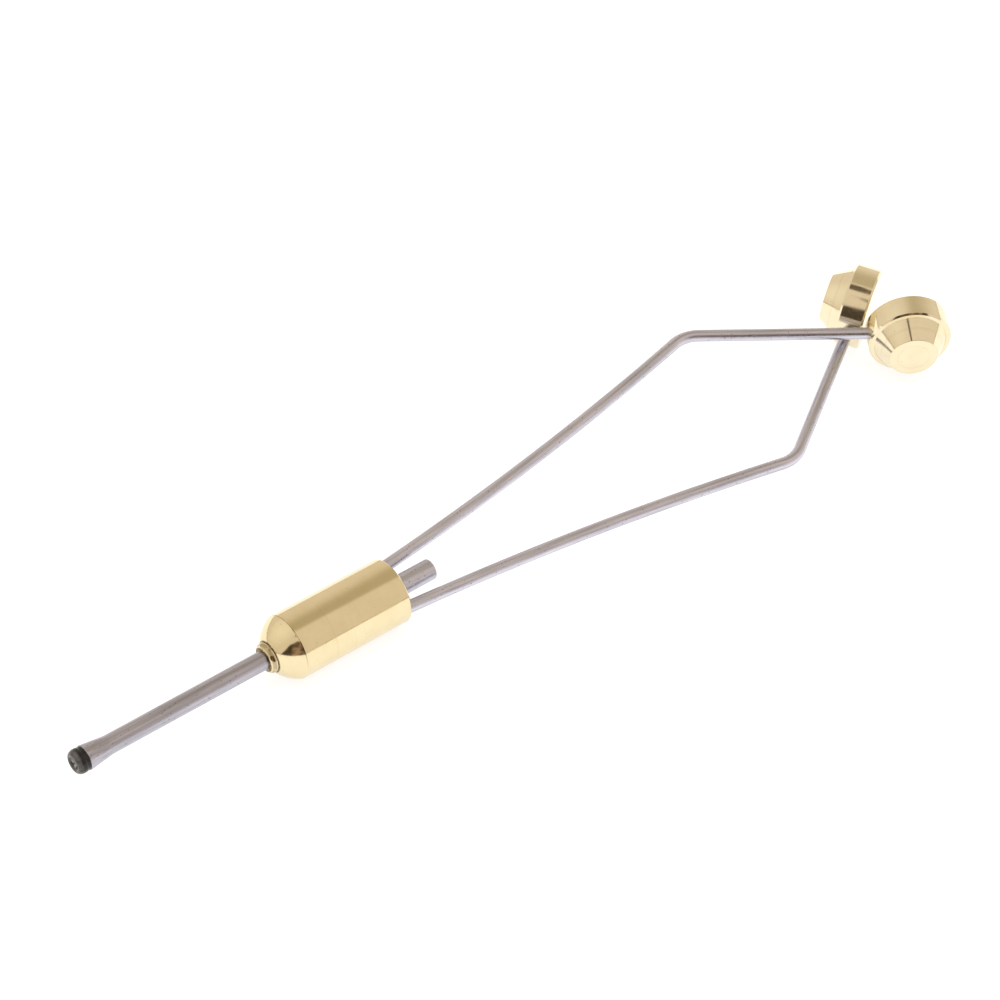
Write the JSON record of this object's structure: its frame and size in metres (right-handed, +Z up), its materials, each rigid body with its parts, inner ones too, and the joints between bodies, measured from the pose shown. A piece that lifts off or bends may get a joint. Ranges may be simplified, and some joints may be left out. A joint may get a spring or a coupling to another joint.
{
  "type": "fly tying bobbin holder",
  "caption": "Slim thread bobbin holder: rounded brass barrel, thin steel thread tube with a black ceramic tip, and two crossed spring wire arms ending in brass spool feet.",
  "frame": {"origin": "on the thread tube's axis, in the plane of the barrel's rear face", "axes": "+X along the tube from the ceramic tip towards the feet; +Z up as the tool lies on a table; +Y completes the right-handed frame, on the side of the left arm's bend"},
  "size_m": [0.1185, 0.0205, 0.0103],
  "materials": {
    "brass": "polished pale brass, the barrel lightly satined by fine turning marks",
    "tube_steel": "satin drawn stainless tube with fine lengthwise streaks and tiny pits",
    "spring_wire": "satin drawn stainless spring wire",
    "black_ceramic": "glossy black ceramic"
  },
  "bodies": {
    "holder": {"barrel": "brass", "nose_collar": "brass", "thread_tube": "tube_steel", "tip_insert": "black_ceramic", "rear_sleeve": "tube_steel"},
    "left_root": {"left_arm_root": "spring_wire"},
    "left_arm": {"left_arm": "spring_wire", "left_foot": "brass"},
    "right_root": {"right_arm_root": "spring_wire"},
    "right_arm": {"right_arm": "spring_wire", "right_foot": "brass"}
  },
  "joints": [
    {"name": "left_arm_swing", "type": "hinge", "parent": "holder", "child": "left_root", "pos_m": [0, 0.00277, 0.00055], "axis": [-0.9985, -0.0386, -0.0398], "range_deg": [0, 204.8], "stiffness_Nm_per_rad": 0.009},
    {"name": "left_arm_turn", "type": "hinge", "parent": "left_root", "child": "left_arm", "pos_m": [0, 0.00277, 0.00055], "axis": [0.995, -0.0992, 0.011], "range_deg": [0, 196.9]},
    {"name": "right_arm_swing", "type": "hinge", "parent": "holder", "child": "right_root", "pos_m": [0, -0.00277, -0.00055], "axis": [-0.9988, 0.0482, 0.009], "range_deg": [0, 206.5], "stiffness_Nm_per_rad": 0.009},
    {"name": "right_arm_turn", "type": "hinge", "parent": "right_root", "child": "right_arm", "pos_m": [0, -0.00277, -0.00055], "axis": [0.9964, 0.0822, 0.0204], "range_deg": [0, 198]}
  ],
  "couplings": [
    {"joint": "left_arm_turn", "follows": "left_arm_swing", "ratio": 0.9613},
    {"joint": "right_arm_turn", "follows": "right_arm_swing", "ratio": 0.9588}
  ]
}
